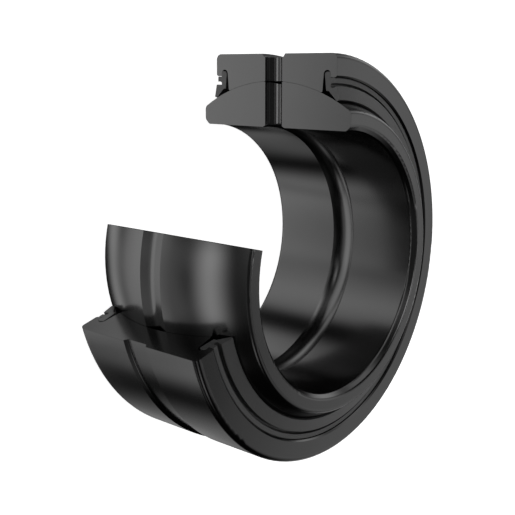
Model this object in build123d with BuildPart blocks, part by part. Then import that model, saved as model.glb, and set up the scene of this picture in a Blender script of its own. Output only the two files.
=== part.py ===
from build123d import *

import math
import os

# Radial spherical plain bearing, sectioned to show how its rings and seals fit.
# The inner ring's spherical outside turns in the outer ring's spherical socket, and a rubber seal
# is snapped into a slot near each end face of the outer ring. A wedge is cut out of both rings and
# both seals. The origin is the sphere's centre, +Z is the bearing's axis, and +X lies in the
# section face that all four pieces share. Lengths are in millimetres.

# Inner ring
bore_diameter = 30.0
inner_width = 22.0
inner_end_wall = 2.121  # radial width of an end face, out to where the sphere meets it
bore_chamfer = 0.6
bore_chamfer_blend = 0.45
sphere_corner_radius = 0.6

# Lubrication grooves of the inner ring
bore_groove_width = 3.24
bore_groove_depth = 0.45
sphere_groove_width = 3.0
sphere_groove_flank_depth = 0.25
sphere_groove_floor_width = 1.1
sphere_groove_floor_sag = 0.07

# Outer ring
outer_width = 18.0
outer_wall = 3.15  # from the sphere to the outside, at mid-width
outer_corner_radius = 0.7
outer_groove_depth = 0.42
outer_groove_floor_width = 2.8
outer_groove_flank_width = 0.32
outer_groove_corner_radius = 0.3

# Lubrication hole, in line through both rings
hole_diameter = 2.55

# Seal slot in the outer ring, measured from its end face and from its outside
retaining_lip_thickness = 0.8
retaining_lip_wall = 2.63
retaining_lip_chamfer = 0.17
slot_width = 1.0
slot_roof_wall = 1.85
slot_inner_wall_draft = 0.17
slot_mouth_chamfer = 0.14

# Seal
seal_head_thickness = 0.87
seal_head_radius = 0.35
seal_head_drop = 0.19  # free height between the seal's head and the slot's roof
seal_shoulder_drop = 0.12  # from the slot's outer wall to the end of the head's flat top
seal_bead_thickness = 0.58
seal_bead_height = 0.62
seal_bead_draft = 0.05  # how much lower the bead's top is at its neck
seal_bead_corner_radius = 0.14
seal_groove_width = 0.34
seal_groove_undercut = 0.2  # how much nearer to the axis the groove is at its round end
seal_groove_setback = 0.02  # how far the groove's round end lies behind the slot's outer wall
seal_groove_corner_radius = 0.08
seal_heel_thickness = 0.33
seal_heel_draft = 0.245
seal_heel_lift = 0.49  # between the sphere and the heel's inner corner
seal_lip_reach = 0.04  # how far the contact edge stands past the outer ring's end face
seal_lip_edge_length = 0.31
seal_lip_edge_rise = 0.12
seal_lip_corner_radius = 0.06

# Clearances
sphere_clearance = 0.03
lip_clearance = 0.03
bead_clearance = 0.03

# Section: the angle cut away from each piece, counted from the face that they share
inner_section_angle = 75.0
outer_section_angle = 105.0

bore_radius = bore_diameter / 2
inner_end = inner_width / 2
sphere_diameter = round(2 * math.hypot(bore_radius + inner_end_wall, inner_end), 2)
sphere_radius = sphere_diameter / 2
socket_radius = sphere_radius + sphere_clearance
outer_radius = sphere_radius + outer_wall
outer_end = outer_width / 2

# Every profile lies in the shared section face, as (radius, height), and is swept clockwise
section_face = Plane.XZ
sweep_axis = Axis((0, 0, 0), (0, 0, -1))


def radius_on_sphere(height, radius):
    """Distance from the bearing's axis to a sphere's surface, at a height above its centre."""
    return math.sqrt(radius**2 - height**2)


def corner(profile, point):
    """The vertex of a profile that lies nearest to a point."""
    return profile.vertices().sort_by_distance(point)[0]


def ends(vertices, axis):
    """The first and the last of some vertices along an axis."""
    in_order = vertices.sort_by(axis)
    return [in_order[0], in_order[-1]]


with BuildPart() as inner_ring:
    with BuildSketch(section_face) as inner_profile:
        groove_edge = radius_on_sphere(sphere_groove_width / 2, sphere_radius)
        floor_edge = sphere_radius - sphere_groove_flank_depth
        end_edge = radius_on_sphere(inner_end, sphere_radius)
        middle_height = (sphere_groove_width / 2 + inner_end) / 2
        with BuildLine():
            ThreePointArc(
                (bore_radius, -bore_groove_width / 2),
                (bore_radius + bore_groove_depth, 0),
                (bore_radius, bore_groove_width / 2),
            )
            ThreePointArc(
                (floor_edge, -sphere_groove_floor_width / 2),
                (floor_edge - sphere_groove_floor_sag, 0),
                (floor_edge, sphere_groove_floor_width / 2),
            )
            Polyline(
                (bore_radius, bore_groove_width / 2),
                (bore_radius, inner_end),
                (end_edge, inner_end),
            )
            ThreePointArc(
                (end_edge, inner_end),
                (radius_on_sphere(middle_height, sphere_radius), middle_height),
                (groove_edge, sphere_groove_width / 2),
            )
            Line((groove_edge, sphere_groove_width / 2), (floor_edge, sphere_groove_floor_width / 2))
            mirror(about=section_face)
        make_face()
        fillet(ends(inner_profile.vertices().group_by(Axis.Y)[-1], Axis.X)[1], sphere_corner_radius)
        fillet(ends(inner_profile.vertices().group_by(Axis.Y)[0], Axis.X)[1], sphere_corner_radius)
        chamfer(ends(inner_profile.vertices().group_by(Axis.X)[0], Axis.Y), bore_chamfer)
        chamfer_edges = ends(inner_profile.vertices().group_by(Axis.X)[0], Axis.Y)
        for end_face in (0, -1):
            chamfer_edges.append(inner_profile.vertices().group_by(Axis.Y)[end_face].sort_by(Axis.X)[0])
        fillet(chamfer_edges, bore_chamfer_blend)
    revolve(axis=sweep_axis, revolution_arc=360 - inner_section_angle)
    with BuildSketch(Plane.YZ):
        Circle(hole_diameter / 2)
    extrude(amount=sphere_radius, mode=Mode.SUBTRACT)
inner_ring.part.label = "inner_ring"

lip_bore = outer_radius - retaining_lip_wall
slot_outer_wall = outer_end - retaining_lip_thickness
slot_inner_wall = slot_outer_wall - slot_width
slot_roof = outer_radius - slot_roof_wall
slot_round_centre = slot_roof - slot_width / 2
mouth_height = slot_inner_wall - slot_inner_wall_draft
mouth_radius = radius_on_sphere(mouth_height, socket_radius)

with BuildPart() as outer_ring:
    with BuildSketch(section_face) as outer_profile:
        groove_floor = outer_radius - outer_groove_depth
        floor_half = outer_groove_floor_width / 2
        with BuildLine():
            Polyline(
                (groove_floor, 0),
                (groove_floor, floor_half),
                (outer_radius, floor_half + outer_groove_flank_width),
                (outer_radius, outer_end),
                (lip_bore, outer_end),
                (lip_bore, slot_outer_wall),
                (slot_round_centre, slot_outer_wall),
            )
            ThreePointArc(
                (slot_round_centre, slot_outer_wall),
                (slot_roof, slot_outer_wall - slot_width / 2),
                (slot_round_centre, slot_inner_wall),
            )
            Line((slot_round_centre, slot_inner_wall), (mouth_radius, mouth_height))
            mirror(about=section_face)
            ThreePointArc((mouth_radius, mouth_height), (socket_radius, 0), (mouth_radius, -mouth_height))
        make_face()
        chamfer(outer_profile.vertices().group_by(Axis.X)[0], slot_mouth_chamfer)
        for end_face in (0, -1):
            lip_corner = outer_profile.vertices().group_by(Axis.Y)[end_face].sort_by(Axis.X)[0]
            chamfer(lip_corner, retaining_lip_chamfer)
        fillet(ends(outer_profile.vertices().group_by(Axis.X)[-1], Axis.Y), outer_corner_radius)
        near_floor = (groove_floor - outer_groove_depth / 2, groove_floor + outer_groove_depth / 2)
        floor_corners = outer_profile.vertices().filter_by_position(Axis.X, *near_floor)
        floor_corners = floor_corners.filter_by_position(Axis.Y, -floor_half * 1.01, floor_half * 1.01)
        fillet(ends(floor_corners, Axis.Y), outer_groove_corner_radius)
    revolve(axis=sweep_axis, revolution_arc=360 - outer_section_angle)
    with BuildSketch(Plane.YZ):
        Circle(hole_diameter / 2)
    extrude(amount=outer_radius, mode=Mode.SUBTRACT)
outer_ring.part.label = "outer_ring"

with BuildPart() as upper_seal:
    with BuildSketch(section_face) as seal_profile:
        bead_top = lip_bore - bead_clearance
        bead_bottom = bead_top - seal_bead_height
        bead_face = slot_outer_wall + seal_bead_thickness
        head_top = slot_roof - seal_head_drop
        head_inner_wall = slot_outer_wall - seal_head_thickness
        heel_height = head_inner_wall + seal_heel_draft
        heel_radius = radius_on_sphere(heel_height, sphere_radius) + seal_heel_lift
        lip_face = outer_end + seal_lip_reach
        contact_radius = radius_on_sphere(lip_face, sphere_radius + lip_clearance)
        lip_tip = (contact_radius + seal_lip_edge_rise, lip_face + seal_lip_edge_length)
        groove_bottom = bead_bottom - seal_groove_width
        groove_end = slot_outer_wall - seal_groove_setback
        groove_round = (seal_groove_width + seal_groove_undercut) / 2
        with BuildLine():
            TangentArc(
                (slot_round_centre, slot_outer_wall),
                (head_top, slot_outer_wall - seal_shoulder_drop),
                tangent=(1, 0),
            )
            Polyline(
                (head_top, slot_outer_wall - seal_shoulder_drop),
                (head_top, head_inner_wall),
                (heel_radius, heel_height),
                (heel_radius, heel_height + seal_heel_thickness),
                (contact_radius, lip_face),
                lip_tip,
                (groove_bottom, lip_face),
                (bead_bottom - 2 * groove_round, groove_end + groove_round),
            )
            ThreePointArc(
                (bead_bottom - 2 * groove_round, groove_end + groove_round),
                (bead_bottom - groove_round, groove_end),
                (bead_bottom, groove_end + groove_round),
            )
            Polyline(
                (bead_bottom, groove_end + groove_round),
                (bead_bottom, bead_face),
                (bead_top, bead_face),
                (bead_top - seal_bead_draft, slot_outer_wall),
                (slot_round_centre, slot_outer_wall),
            )
        make_face()
        fillet(corner(seal_profile, (head_top, head_inner_wall)), seal_head_radius)
        fillet(corner(seal_profile, (bead_top, bead_face)), seal_bead_corner_radius)
        fillet(corner(seal_profile, (groove_bottom, lip_face)), seal_groove_corner_radius)
        fillet(corner(seal_profile, lip_tip), seal_lip_corner_radius)
    revolve(axis=sweep_axis, revolution_arc=360 - outer_section_angle)
upper_seal.part.label = "upper_seal"

with BuildPart() as lower_seal:
    mirror(upper_seal.part, about=Plane.XY)
lower_seal.part.label = "lower_seal"

os.makedirs("parts", exist_ok=True)
export_step(inner_ring.part, "parts/inner_ring.step")
export_step(outer_ring.part, "parts/outer_ring.step")
export_step(upper_seal.part, "parts/upper_seal.step")
export_step(lower_seal.part, "parts/lower_seal.step")
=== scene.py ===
import logging
import math
from dataclasses import dataclass, field
from enum import Enum

import bmesh
import bpy
from mathutils import Matrix, Vector


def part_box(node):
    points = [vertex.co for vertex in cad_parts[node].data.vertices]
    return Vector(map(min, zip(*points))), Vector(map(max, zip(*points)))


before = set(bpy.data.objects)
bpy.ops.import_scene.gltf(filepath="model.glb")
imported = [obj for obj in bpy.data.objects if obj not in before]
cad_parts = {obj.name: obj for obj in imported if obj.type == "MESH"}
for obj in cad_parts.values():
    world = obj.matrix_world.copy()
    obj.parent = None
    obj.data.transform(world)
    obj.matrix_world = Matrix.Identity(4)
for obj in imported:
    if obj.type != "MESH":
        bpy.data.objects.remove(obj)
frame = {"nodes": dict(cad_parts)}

log = logging.getLogger("bearing")

MM = 0.001
BEARING_AXIS = (0.0, 0.0, 1.0)
WHITE = 1.0
NODE_SPACING = 200.0
START_OBJECTS = ("Cube", "Light", "Camera")


class Piece(Enum):
    """The bearing's four pieces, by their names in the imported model."""

    INNER_RING = "inner_ring"
    OUTER_RING = "outer_ring"
    UPPER_SEAL = "upper_seal"
    LOWER_SEAL = "lower_seal"


class SectionCut(Enum):
    """Angle about the axis, in degrees, at which a ring's far section face lies."""

    INNER_RING = 75.0
    OUTER_RING = 105.0


def grey(value: float) -> tuple[float, float, float, float]:
    """Gives the opaque neutral colour of a brightness."""
    return (value, value, value, 1.0)


def add_node(
    tree: bpy.types.NodeTree, kind: str, place: tuple[float, float], **settings: object
) -> bpy.types.Node:
    """Adds a node to a tree.

    Args:
        tree: The tree that gets the node.
        kind: The node's type name.
        place: Where it stands in the editor, in grid columns and rows.
        **settings: Properties of the node to set.

    Returns:
        The new node.
    """
    node = tree.nodes.new(kind)
    node.location = (place[0] * NODE_SPACING, place[1] * NODE_SPACING)
    for name, value in settings.items():
        setattr(node, name, value)
    return node


def add_noise(
    tree: bpy.types.NodeTree, place: tuple[float, float], scale: float, detail: float, **settings: object
) -> bpy.types.Node:
    """Adds a noise texture to a tree.

    Args:
        tree: The tree that gets the node.
        place: Where it stands in the editor, in grid columns and rows.
        scale: Cells of noise to one unit of its Vector.
        detail: How many finer layers lie over the first.
        **settings: Properties of the node to set.

    Returns:
        The new node.
    """
    noise = add_node(tree, "ShaderNodeTexNoise", place, **settings)
    noise.inputs["Scale"].default_value = scale
    noise.inputs["Detail"].default_value = detail
    return noise


def add_range(
    tree: bpy.types.NodeTree, place: tuple[float, float], low: float, high: float, **settings: object
) -> bpy.types.Node:
    """Adds a node that turns a mask into values between two limits.

    Args:
        tree: The tree that gets the node.
        place: Where it stands in the editor, in grid columns and rows.
        low: The value where the mask is 0.
        high: The value where the mask is 1.
        **settings: Properties of the node to set.

    Returns:
        The new node.
    """
    span = add_node(tree, "ShaderNodeMapRange", place, **settings)
    span.inputs["To Min"].default_value = low
    span.inputs["To Max"].default_value = high
    return span


def add_spread(
    tree: bpy.types.NodeTree, place: tuple[float, float], middle: float, spread: float
) -> bpy.types.Node:
    """Adds a node that turns noise into values on both sides of a middle one.

    Args:
        tree: The tree that gets the node.
        place: Where it stands in the editor, in grid columns and rows.
        middle: The value half way up the noise.
        spread: How far the values reach to either side.

    Returns:
        The new node.
    """
    return add_range(tree, place, middle - spread, middle + spread)


def new_group(name: str, inputs: dict[str, float], outputs: list[str]) -> bpy.types.NodeTree:
    """Makes an empty shader group whose number inputs follow a Vector input.

    Args:
        name: The group's name.
        inputs: The number inputs, with their defaults.
        outputs: The number outputs.

    Returns:
        The group, with its input and output nodes in place.
    """
    group = bpy.data.node_groups.new(name, "ShaderNodeTree")
    sides = group.interface
    sides.new_socket("Vector", in_out="INPUT", socket_type="NodeSocketVector")
    for label, value in inputs.items():
        socket = sides.new_socket(label, in_out="INPUT", socket_type="NodeSocketFloat")
        socket.default_value = value
    for label in outputs:
        sides.new_socket(label, in_out="OUTPUT", socket_type="NodeSocketFloat")
    add_node(group, "NodeGroupInput", (-6, 0), name="In")
    add_node(group, "NodeGroupOutput", (6, 0), name="Out")
    return group


def split_place(group: bpy.types.NodeTree) -> tuple[bpy.types.Node, bpy.types.Node, bpy.types.Node]:
    """Splits a group's Vector input about the bearing's axis.

    Args:
        group: The group, with its input node in place.

    Returns:
        The nodes that give the coordinates, the place without its height, and its distance from
        the axis.
    """
    link = group.links.new
    parts = add_node(group, "ShaderNodeSeparateXYZ", (-5, 1))
    flat = add_node(group, "ShaderNodeCombineXYZ", (-4, 2))
    radius = add_node(group, "ShaderNodeVectorMath", (-3, 2), operation="LENGTH")
    link(group.nodes["In"].outputs["Vector"], parts.inputs[0])
    link(parts.outputs["X"], flat.inputs["X"])
    link(parts.outputs["Y"], flat.inputs["Y"])
    link(flat.outputs[0], radius.inputs[0])
    return parts, flat, radius


@dataclass(frozen=True)
class TurningMarks:
    """Fine marks that a lathe or grinder leaves round the bearing's axis.

    The noise has mark_scale cells to a metre across the marks. Once round the ring, it is followed
    along a circle whose radius is only drift cells, so that each mark runs far round.
    """

    name: str = "turning_marks"
    mark_scale: float = 9000.0
    drift: float = 1.5
    mark_detail: float = 3.0
    mark_roughness: float = 0.65
    cloud_scale: float = 160.0
    cloud_detail: float = 4.0

    def build(self) -> bpy.types.NodeTree:
        """Builds the group: noise over radius and height that hardly changes with the angle.

        Returns:
            A group with inputs Vector, Scale and Drift, and outputs Marks and Clouding.
        """
        inputs = {"Scale": self.mark_scale, "Drift": self.drift}
        group = new_group(self.name, inputs, ["Marks", "Clouding"])
        link = group.links.new
        source, result = group.nodes["In"], group.nodes["Out"]
        parts, flat, radius = split_place(group)
        around = add_node(group, "ShaderNodeVectorMath", (-3, 0), operation="NORMALIZE")
        drift = add_node(group, "ShaderNodeVectorMath", (-2, 0), operation="SCALE")
        turned = add_node(group, "ShaderNodeSeparateXYZ", (-1, 0))
        across = add_node(group, "ShaderNodeMath", (-2, 2), operation="MULTIPLY")
        along = add_node(group, "ShaderNodeMath", (-2, 1), operation="MULTIPLY")
        lattice = add_node(group, "ShaderNodeCombineXYZ", (0, 1))
        marks = add_noise(group, (2, 1), 1.0, self.mark_detail, noise_dimensions="4D")
        marks.inputs["Roughness"].default_value = self.mark_roughness
        clouding = add_noise(group, (2, -1), self.cloud_scale, self.cloud_detail)
        link(flat.outputs[0], around.inputs[0])
        link(around.outputs[0], drift.inputs[0])
        link(source.outputs["Drift"], drift.inputs["Scale"])
        link(drift.outputs[0], turned.inputs[0])
        link(radius.outputs["Value"], across.inputs[0])
        link(source.outputs["Scale"], across.inputs[1])
        link(parts.outputs["Z"], along.inputs[0])
        link(source.outputs["Scale"], along.inputs[1])
        link(across.outputs[0], lattice.inputs["X"])
        link(along.outputs[0], lattice.inputs["Y"])
        link(turned.outputs["X"], lattice.inputs["Z"])
        link(lattice.outputs[0], marks.inputs["Vector"])
        link(turned.outputs["Y"], marks.inputs["W"])
        link(source.outputs["Vector"], clouding.inputs["Vector"])
        link(marks.outputs[0], result.inputs["Marks"])
        link(clouding.outputs[0], result.inputs["Clouding"])
        return group


@dataclass(frozen=True)
class SectionGrindAndPaintedShade:
    """Where a piece was cut through: the ground section face, and a dark line of painted shade on the faces
    beside its edge, where a rounded edge would be shaded.

    The input Facing is 1 where a surface looks along the circle round the axis. Up to facing_from
    a surface isn't a section face, and from facing_full it wholly is one.
    """

    name: str = "section_grind_and_painted_shade"
    edge_width: float = 0.1 * MM
    facing_from: float = 0.97
    facing_full: float = 0.99
    grind_scale: float = 8000.0
    grind_detail: float = 2.0
    grind_stretch: tuple[float, float, float] = (0.1, 0.1, 1.0)

    def build(self) -> bpy.types.NodeTree:
        """Builds the group: masks of the section faces and of the arc beside them, where shade is painted.

        Returns:
            A group with inputs Vector, Far Cut, Edge Width and Facing, and outputs Cut, Edge and Grind.
        """
        inputs = {"Far Cut": 0.0, "Edge Width": self.edge_width, "Facing": 0.0}
        group = new_group(self.name, inputs, ["Cut", "Edge", "Grind"])
        link = group.links.new
        source, result = group.nodes["In"], group.nodes["Out"]
        parts, _, radius = split_place(group)
        turn = add_node(group, "ShaderNodeMath", (-4, 1), operation="ARCTAN2")
        near = add_node(group, "ShaderNodeMath", (-2, 1), operation="ABSOLUTE")
        beyond = add_node(group, "ShaderNodeMath", (-3, 0), operation="SUBTRACT")
        far = add_node(group, "ShaderNodeMath", (-2, 0), operation="ABSOLUTE")
        nearest = add_node(group, "ShaderNodeMath", (-1, 1), operation="MINIMUM")
        arc = add_node(group, "ShaderNodeMath", (0, 1), operation="MULTIPLY")
        line = add_range(group, (1, 1), 1.0, 0.0, interpolation_type="SMOOTHSTEP")
        cut = add_node(group, "ShaderNodeMapRange", (1, 0))
        cut.inputs["From Min"].default_value = self.facing_from
        cut.inputs["From Max"].default_value = self.facing_full
        beside = add_node(group, "ShaderNodeMath", (2, 0), operation="SUBTRACT")
        beside.inputs[0].default_value = 1.0
        # Painted shade: a thin band beside the cut, off the section faces, in which the steel's colour is
        # darkened
        edge = add_node(group, "ShaderNodeMath", (3, 1), operation="MULTIPLY")
        stretch = add_node(group, "ShaderNodeVectorMath", (1, -1), operation="MULTIPLY")
        stretch.inputs[1].default_value = self.grind_stretch
        grind = add_noise(group, (2, -1), self.grind_scale, self.grind_detail)
        link(parts.outputs["Y"], turn.inputs[0])
        link(parts.outputs["X"], turn.inputs[1])
        link(turn.outputs[0], near.inputs[0])
        link(turn.outputs[0], beyond.inputs[0])
        link(source.outputs["Far Cut"], beyond.inputs[1])
        link(beyond.outputs[0], far.inputs[0])
        link(near.outputs[0], nearest.inputs[0])
        link(far.outputs[0], nearest.inputs[1])
        link(nearest.outputs[0], arc.inputs[0])
        link(radius.outputs["Value"], arc.inputs[1])
        link(arc.outputs[0], line.inputs["Value"])
        link(source.outputs["Edge Width"], line.inputs["From Max"])
        link(source.outputs["Facing"], cut.inputs["Value"])
        link(cut.outputs[0], beside.inputs[1])
        link(line.outputs[0], edge.inputs[0])
        link(beside.outputs[0], edge.inputs[1])
        link(source.outputs["Vector"], stretch.inputs[0])
        link(stretch.outputs[0], grind.inputs["Vector"])
        link(cut.outputs[0], result.inputs["Cut"])
        link(edge.outputs[0], result.inputs["Edge"])
        link(grind.outputs[0], result.inputs["Grind"])
        return group


@dataclass(frozen=True)
class SatinSteel:
    """Black-finished bearing steel with a satin sheen."""

    marks: bpy.types.NodeTree
    section: bpy.types.NodeTree
    cut: SectionCut
    name: str = "satin_black_steel"
    colour: float = 0.105
    grazing_tint: float = 0.7
    colour_spread: float = 0.006
    roughness: float = 0.19
    roughness_spread: float = 0.02
    mark_height: float = 0.0004 * MM
    # Colour factor of the painted shade beside the section edges
    painted_edge_shade: float = 0.6

    def build(self) -> bpy.types.Material:
        """Builds the steel's material.

        Returns:
            The material, on Object coordinates.
        """
        material = bpy.data.materials.new(f"{self.name}_{self.cut.name.lower()}")
        material.use_nodes = True
        tree = material.node_tree
        link = tree.links.new
        surface = tree.nodes["Principled BSDF"]
        surface.inputs["Metallic"].default_value = 1.0
        surface.inputs["Specular Tint"].default_value = grey(self.grazing_tint)
        place = add_node(tree, "ShaderNodeTexCoord", (-6, 0))
        section = self.add_section(tree, place)
        marks = add_node(tree, "ShaderNodeGroup", (-5, 0), node_tree=self.marks)
        shade = add_spread(tree, (-3, 1), self.colour, self.colour_spread)
        sheen = add_spread(tree, (-3, 0), self.roughness, self.roughness_spread)
        # Painted shade: the steel's colour is darkened in a thin band beside the section edges
        painted_edge_darkening = add_range(tree, (-2, 2), 1.0, self.painted_edge_shade)
        tone = add_node(tree, "ShaderNodeMath", (-1, 1), operation="MULTIPLY")
        relief = add_node(tree, "ShaderNodeMix", (-1, -1))
        bump = add_node(tree, "ShaderNodeBump", (-2, -1))
        bump.inputs["Distance"].default_value = self.mark_height
        link(place.outputs["Object"], marks.inputs["Vector"])
        link(marks.outputs["Clouding"], shade.inputs["Value"])
        link(marks.outputs["Clouding"], sheen.inputs["Value"])
        link(section.outputs["Cut"], relief.inputs["Factor"])
        link(marks.outputs["Marks"], relief.inputs["A"])
        link(section.outputs["Grind"], relief.inputs["B"])
        link(section.outputs["Edge"], painted_edge_darkening.inputs["Value"])
        link(shade.outputs[0], tone.inputs[0])
        link(painted_edge_darkening.outputs[0], tone.inputs[1])
        link(relief.outputs["Result"], bump.inputs["Height"])
        link(tone.outputs[0], surface.inputs["Base Color"])
        link(sheen.outputs[0], surface.inputs["Roughness"])
        link(bump.outputs[0], surface.inputs["Normal"])
        return material

    def add_section(self, tree: bpy.types.NodeTree, place: bpy.types.Node) -> bpy.types.Node:
        """Adds the section grind and the painted shade beside the section edges, told how far a surface
        faces along the circle round the axis.

        Args:
            tree: The material's tree.
            place: The node that gives its coordinates and normal.

        Returns:
            The node that holds the section grind and the painted edge shade.
        """
        link = tree.links.new
        across = add_node(tree, "ShaderNodeVectorMath", (-6, -2), operation="CROSS_PRODUCT")
        across.inputs[1].default_value = BEARING_AXIS
        tangent = add_node(tree, "ShaderNodeVectorMath", (-5, -2), operation="NORMALIZE")
        turned = add_node(tree, "ShaderNodeVectorMath", (-4, -2), operation="DOT_PRODUCT")
        facing = add_node(tree, "ShaderNodeMath", (-3, -2), operation="ABSOLUTE")
        section = add_node(tree, "ShaderNodeGroup", (-2, -2), node_tree=self.section)
        section.inputs["Far Cut"].default_value = math.radians(self.cut.value)
        link(place.outputs["Object"], across.inputs[0])
        link(across.outputs[0], tangent.inputs[0])
        link(tangent.outputs[0], turned.inputs[0])
        link(place.outputs["Normal"], turned.inputs[1])
        link(turned.outputs["Value"], facing.inputs[0])
        link(facing.outputs[0], section.inputs["Facing"])
        link(place.outputs["Object"], section.inputs["Vector"])
        return section


@dataclass(frozen=True)
class MouldedRubber:
    """Black seal rubber with the fine grain of its mould."""

    name: str = "moulded_seal_rubber"
    colour: float = 0.05
    colour_spread: float = 0.008
    gloss: float = 0.65
    roughness: float = 0.38
    roughness_spread: float = 0.06
    grain_scale: float = 6500.0
    grain_detail: float = 2.0
    grain_height: float = 0.012 * MM
    bloom_scale: float = 420.0
    bloom_detail: float = 5.0

    def build(self) -> bpy.types.Material:
        """Builds the rubber's material.

        Returns:
            The material, on Object coordinates.
        """
        material = bpy.data.materials.new(self.name)
        material.use_nodes = True
        tree = material.node_tree
        link = tree.links.new
        surface = tree.nodes["Principled BSDF"]
        surface.inputs["Specular IOR Level"].default_value = self.gloss
        place = add_node(tree, "ShaderNodeTexCoord", (-6, 0))
        grain = add_noise(tree, (-4, 0), self.grain_scale, self.grain_detail)
        bloom = add_noise(tree, (-4, 1), self.bloom_scale, self.bloom_detail)
        shade = add_spread(tree, (-2, 2), self.colour, self.colour_spread)
        sheen = add_spread(tree, (-2, 1), self.roughness, self.roughness_spread)
        bump = add_node(tree, "ShaderNodeBump", (-2, 0))
        bump.inputs["Distance"].default_value = self.grain_height
        link(place.outputs["Object"], grain.inputs["Vector"])
        link(place.outputs["Object"], bloom.inputs["Vector"])
        link(bloom.outputs[0], shade.inputs["Value"])
        link(bloom.outputs[0], sheen.inputs["Value"])
        link(grain.outputs[0], bump.inputs["Height"])
        link(shade.outputs[0], surface.inputs["Base Color"])
        link(sheen.outputs[0], surface.inputs["Roughness"])
        link(bump.outputs[0], surface.inputs["Normal"])
        return material


@dataclass
class Bearing:
    """The sectioned bearing: two steel rings and two rubber seals."""

    nodes: dict[str, bpy.types.Object]
    inner_steel: bpy.types.Material
    outer_steel: bpy.types.Material
    rubber: bpy.types.Material
    finishes: dict[Piece, bpy.types.Material] = field(init=False)

    def __post_init__(self) -> None:
        """Says which finish each piece has."""
        self.finishes = {
            Piece.INNER_RING: self.inner_steel,
            Piece.OUTER_RING: self.outer_steel,
            Piece.UPPER_SEAL: self.rubber,
            Piece.LOWER_SEAL: self.rubber,
        }

    def dress(self) -> None:
        """Gives each piece its finish."""
        for piece, finish in self.finishes.items():
            for material_slot in self.nodes[piece.value].material_slots:
                material_slot.material = finish
            log.info("%s: %s", piece.value, finish.name)


@dataclass(frozen=True)
class SoftEdge:
    """Fade of a softbox's cloth towards its frame.

    Each coordinate on the cloth runs from 0 to 1, and middle is its value at the centre.
    """

    name: str = "softbox_edge"
    middle: float = 0.5

    def build(self) -> bpy.types.NodeTree:
        """Builds the group: full strength in the middle of the cloth, none at its frame.

        Returns:
            A group with inputs Vector, Across and Along, and the output Fade.
        """
        group = new_group(self.name, {"Across": 0.0, "Along": 0.0}, ["Fade"])
        link = group.links.new
        source, result = group.nodes["In"], group.nodes["Out"]
        parts = add_node(group, "ShaderNodeSeparateXYZ", (-5, 0))
        both = add_node(group, "ShaderNodeMath", (4, 0), operation="MULTIPLY")
        link(source.outputs["Vector"], parts.inputs[0])
        for row, (axis, ramp) in enumerate((("X", "Across"), ("Y", "Along"))):
            centred = add_node(group, "ShaderNodeMath", (-4, row), operation="SUBTRACT")
            offset = add_node(group, "ShaderNodeMath", (-3, row), operation="ABSOLUTE")
            share = add_node(group, "ShaderNodeMath", (-2, row), operation="DIVIDE")
            inside = add_node(group, "ShaderNodeMath", (-1, row), operation="SUBTRACT")
            fade = add_node(group, "ShaderNodeMapRange", (1, row), interpolation_type="SMOOTHSTEP")
            centred.inputs[1].default_value = self.middle
            share.inputs[1].default_value = self.middle
            inside.inputs[0].default_value = 1.0
            link(parts.outputs[axis], centred.inputs[0])
            link(centred.outputs[0], offset.inputs[0])
            link(offset.outputs[0], share.inputs[0])
            link(share.outputs[0], inside.inputs[1])
            link(inside.outputs[0], fade.inputs["Value"])
            link(source.outputs[ramp], fade.inputs["From Max"])
            link(fade.outputs[0], both.inputs[row])
        link(both.outputs[0], result.inputs["Fade"])
        return group


@dataclass(frozen=True)
class Softbox:
    """A flat studio light that faces the bearing and fades towards its frame.

    Its direction is an azimuth, from +Z towards +Y, and an elevation towards +X, which is up in the
    picture. Width and height are angles seen from the bearing, to where the light is half as
    strong, and tilt turns the light about its direction. All five are in degrees. A brightness of 1
    shows as white in a perfect mirror. Distance is in metres, and an edge fades over a band that
    reaches fade times the distance to either side of where it is half as strong.
    """

    name: str
    azimuth: float
    elevation: float
    width: float
    height: float
    tilt: float
    brightness: float
    distance: float = 2.0
    fade: float = 0.15

    def build(self, edge: bpy.types.NodeTree) -> None:
        """Places the light.

        Args:
            edge: The group that fades the light towards its frame.
        """
        turn, lift = math.radians(self.azimuth), math.radians(self.elevation)
        outward = Vector((math.sin(lift), math.cos(lift) * math.sin(turn), math.cos(lift) * math.cos(turn)))
        level = Vector((0.0, math.cos(turn), -math.sin(turn)))
        sideways = Matrix.Rotation(math.radians(self.tilt), 3, outward) @ level
        upward = outward.cross(sideways)
        half_width = math.tan(math.radians(self.width / 2.0)) + self.fade
        half_height = math.tan(math.radians(self.height / 2.0)) + self.fade
        data = bpy.data.lights.new(self.name, "AREA")
        data.shape = "RECTANGLE"
        data.size = 2.0 * self.distance * half_width
        data.size_y = 2.0 * self.distance * half_height
        data.energy = self.brightness * math.pi * data.size * data.size_y
        data.use_nodes = True
        tree = data.node_tree
        place = add_node(tree, "ShaderNodeNewGeometry", (-4, 0))
        fade = add_node(tree, "ShaderNodeGroup", (-2, 0), node_tree=edge)
        fade.inputs["Across"].default_value = 2.0 * self.fade / half_width
        fade.inputs["Along"].default_value = 2.0 * self.fade / half_height
        tree.links.new(place.outputs["Parametric"], fade.inputs["Vector"])
        tree.links.new(fade.outputs["Fade"], tree.nodes["Emission"].inputs["Strength"])
        light = bpy.data.objects.new(self.name, data)
        turned = Matrix((sideways, upward, outward)).transposed().to_4x4()
        light.matrix_world = Matrix.Translation(outward * self.distance) @ turned
        light.visible_camera = False
        bpy.context.scene.collection.objects.link(light)


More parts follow.
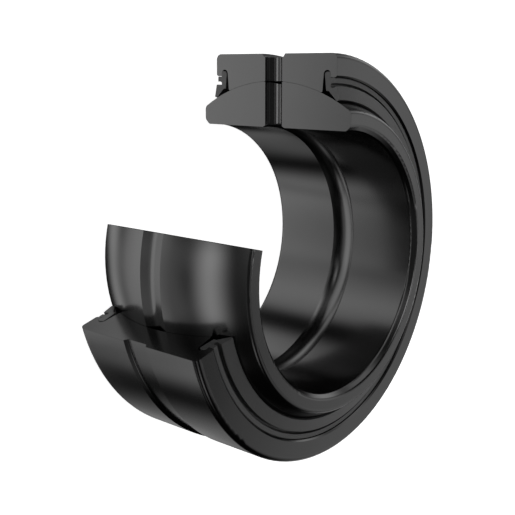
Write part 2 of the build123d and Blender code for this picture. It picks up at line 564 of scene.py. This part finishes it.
# Lights that the steel reflects in the photographed view
MAIN_SOFTBOXES = (
    Softbox("key_left", 144, 8, 38, 90, -6, 0.9),
    Softbox("key_foot", 148, -44, 18, 8, 14, 1.5),
    Softbox("key_right", 157, 2, 26, 90, -16, 0.3),
    Softbox("back_edge", -179, -18, 12, 40, -14, 1.4),
    Softbox("back_panel", -178, 19, 16, 51, -18, 1.05),
    Softbox("key_apron", 130, -12, 39, 49, 6, 0.45),
    Softbox("edge_strip", 91, -11, 15, 51, -2, 2.0),
    Softbox("edge_apron", 97, 7, 34, 17, 2, 0.3),
    Softbox("edge_cap", 100, 26, 7, 9, -1, 2.55),
    Softbox("thin_strip", 63, -3, 7, 65, 7, 0.5),
    Softbox("top_strip", 55, 42, 8, 60, -5, 1.45),
    Softbox("front_panel", 1, 14, 12, 28, -5, 3.0),
    Softbox("front_patch", -30, -8, 15, 9, -2, 3.0),
    Softbox("front_apron", -39, -38, 93, 25, -23, 0.35),
    Softbox("face_panel", -63, -9, 31, 44, 17, 0.45),
    Softbox("face_upper", -57, 4, 7, 38, -4, 0.75),
    Softbox("face_lower", -73, -29, 43, 21, -1, 0.3),
    Softbox("face_crown", -47, 39, 27, 8, -3, 1.05),
    Softbox("back_crown", -153, 42, 28, 16, 29, 1.3),
    Softbox("back_foot", -151, -44, 10, 36, 40, 0.6),
    Softbox("low_patch", 42, -51, 12, 15, -1, 1.1),
)

# Fills that the steel hardly reflects in that view, for its other sides
FILL_SOFTBOXES = (
    Softbox("far_side", -104, 4, 34, 48, 0, 1.0),
    Softbox("right_corner", -106, 51, 28, 22, 0, 0.9),
    Softbox("left_corner", -106, -46, 26, 18, 0, 0.8),
    Softbox("right_end", -110, 80, 18, 18, 0, 1.0),
    Softbox("rim_glow", -79, 21, 18, 22, 0, 1.6),
    Softbox("far_low", -140, 17, 32, 20, 0, 0.7),
    Softbox("near_right", 104, 51, 16, 22, 0, 0.35),
    Softbox("near_left", 106, -56, 16, 18, 0, 0.3),
    Softbox("crown_panel", 10, 64, 70, 26, 0, 0.6),
    Softbox("front_high", 36, 31, 28, 24, 0, 0.6),
    Softbox("front_low", 34, -12, 26, 50, 0, 0.08),
    Softbox("near_crown", 72, 48, 16, 14, 0, 0.5),
    Softbox("rim_crown", -80, 46, 22, 14, 0, 0.6),
)


@dataclass
class Studio:
    """Floor, white surroundings, softboxes and camera.

    The lens and the sensor are in millimetres, and every other length is in metres.
    """

    floor_level: float
    floor_reach: float = 3.0
    floor_glow: float = 0.96
    floor_colour: float = 0.8
    surroundings: float = 0.005
    lens: float = 60.744
    sensor: float = 36.0
    near_clip: float = 1.0 * MM
    camera_position: tuple[float, float, float] = (21.926 * MM, 80.222 * MM, 65.464 * MM)
    view_direction: tuple[float, float, float] = (-0.21377, -0.74552, -0.63127)
    picture_up: tuple[float, float, float] = (0.97689, -0.16336, -0.13788)
    softboxes: tuple[Softbox, ...] = MAIN_SOFTBOXES + FILL_SOFTBOXES

    def lay_floor(self) -> None:
        """Lays the pale floor that the bearing stands on.

        The camera sees it white, a little darker where the bearing's shadow falls.
        """
        sheet = bmesh.new()
        ground = Matrix.Translation((0.0, 0.0, self.floor_level))
        bmesh.ops.create_grid(sheet, x_segments=1, y_segments=1, size=self.floor_reach, matrix=ground)
        mesh = bpy.data.meshes.new("floor")
        sheet.to_mesh(mesh)
        sheet.free()
        mesh.materials.append(self.paint_floor())
        floor = bpy.data.objects.new("floor", mesh)
        floor.visible_glossy = False
        floor.visible_shadow = False
        bpy.context.scene.collection.objects.link(floor)

    def paint_floor(self) -> bpy.types.Material:
        """Makes the floor's paint, which adds a glow to what the camera sees of it.

        Returns:
            The material.
        """
        material = bpy.data.materials.new("pale_floor")
        material.use_nodes = True
        tree = material.node_tree
        tree.nodes.clear()
        link = tree.links.new
        rays = add_node(tree, "ShaderNodeLightPath", (-4, 0))
        strength = add_node(tree, "ShaderNodeMath", (-3, 0), operation="MULTIPLY")
        strength.inputs[1].default_value = self.floor_glow
        paint = add_node(tree, "ShaderNodeBsdfDiffuse", (-2, 1))
        paint.inputs["Color"].default_value = grey(self.floor_colour)
        glow = add_node(tree, "ShaderNodeEmission", (-2, 0))
        both = add_node(tree, "ShaderNodeAddShader", (-1, 0))
        out = add_node(tree, "ShaderNodeOutputMaterial", (0, 0))
        link(rays.outputs["Is Camera Ray"], strength.inputs[0])
        link(strength.outputs[0], glow.inputs["Strength"])
        link(paint.outputs[0], both.inputs[0])
        link(glow.outputs[0], both.inputs[1])
        link(both.outputs[0], out.inputs["Surface"])
        return material

    def paint_surroundings(self) -> None:
        """Makes what lies beyond the floor white to the camera, and dim between the softboxes."""
        world = bpy.data.worlds.new("studio")
        bpy.context.scene.world = world
        world.use_nodes = True
        tree = world.node_tree
        back = tree.nodes["Background"]
        back.inputs["Color"].default_value = grey(WHITE)
        rays = add_node(tree, "ShaderNodeLightPath", (-3, 0))
        level = add_range(tree, (-2, 0), self.surroundings, WHITE)
        tree.links.new(rays.outputs["Is Camera Ray"], level.inputs["Value"])
        tree.links.new(level.outputs[0], back.inputs["Strength"])

    def place_camera(self) -> None:
        """Puts the camera where the photographed view was taken from."""
        data = bpy.data.cameras.new("camera")
        data.lens = self.lens
        data.sensor_width = self.sensor
        data.clip_start = self.near_clip
        camera = bpy.data.objects.new("camera", data)
        forward = Vector(self.view_direction).normalized()
        right = forward.cross(Vector(self.picture_up)).normalized()
        turned = Matrix((right, right.cross(forward), -forward)).transposed().to_4x4()
        camera.matrix_world = Matrix.Translation(Vector(self.camera_position)) @ turned
        bpy.context.scene.collection.objects.link(camera)
        bpy.context.scene.camera = camera

    def build(self) -> None:
        """Builds the studio round the bearing."""
        self.lay_floor()
        self.paint_surroundings()
        edge = SoftEdge().build()
        for softbox in self.softboxes:
            softbox.build(edge)
            log.info("light %s", softbox.name)
        self.place_camera()
        bpy.context.scene.view_settings.view_transform = "Standard"


def clear_start_objects() -> None:
    """Removes the objects that a new scene starts with."""
    for name in START_OBJECTS:
        if name in bpy.data.objects:
            bpy.data.objects.remove(bpy.data.objects[name])


def main() -> None:
    """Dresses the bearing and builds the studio."""
    logging.basicConfig(level=logging.INFO, format="%(message)s")
    clear_start_objects()
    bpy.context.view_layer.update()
    marks, section = TurningMarks().build(), SectionGrindAndPaintedShade().build()
    inner_steel = SatinSteel(marks, section, SectionCut.INNER_RING).build()
    outer_steel = SatinSteel(marks, section, SectionCut.OUTER_RING).build()
    rubber = MouldedRubber().build()
    Bearing(frame["nodes"], inner_steel, outer_steel, rubber).dress()
    lowest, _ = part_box(Piece.INNER_RING.value)
    Studio(floor_level=lowest.z).build()


if __name__ == "__main__":
    main()
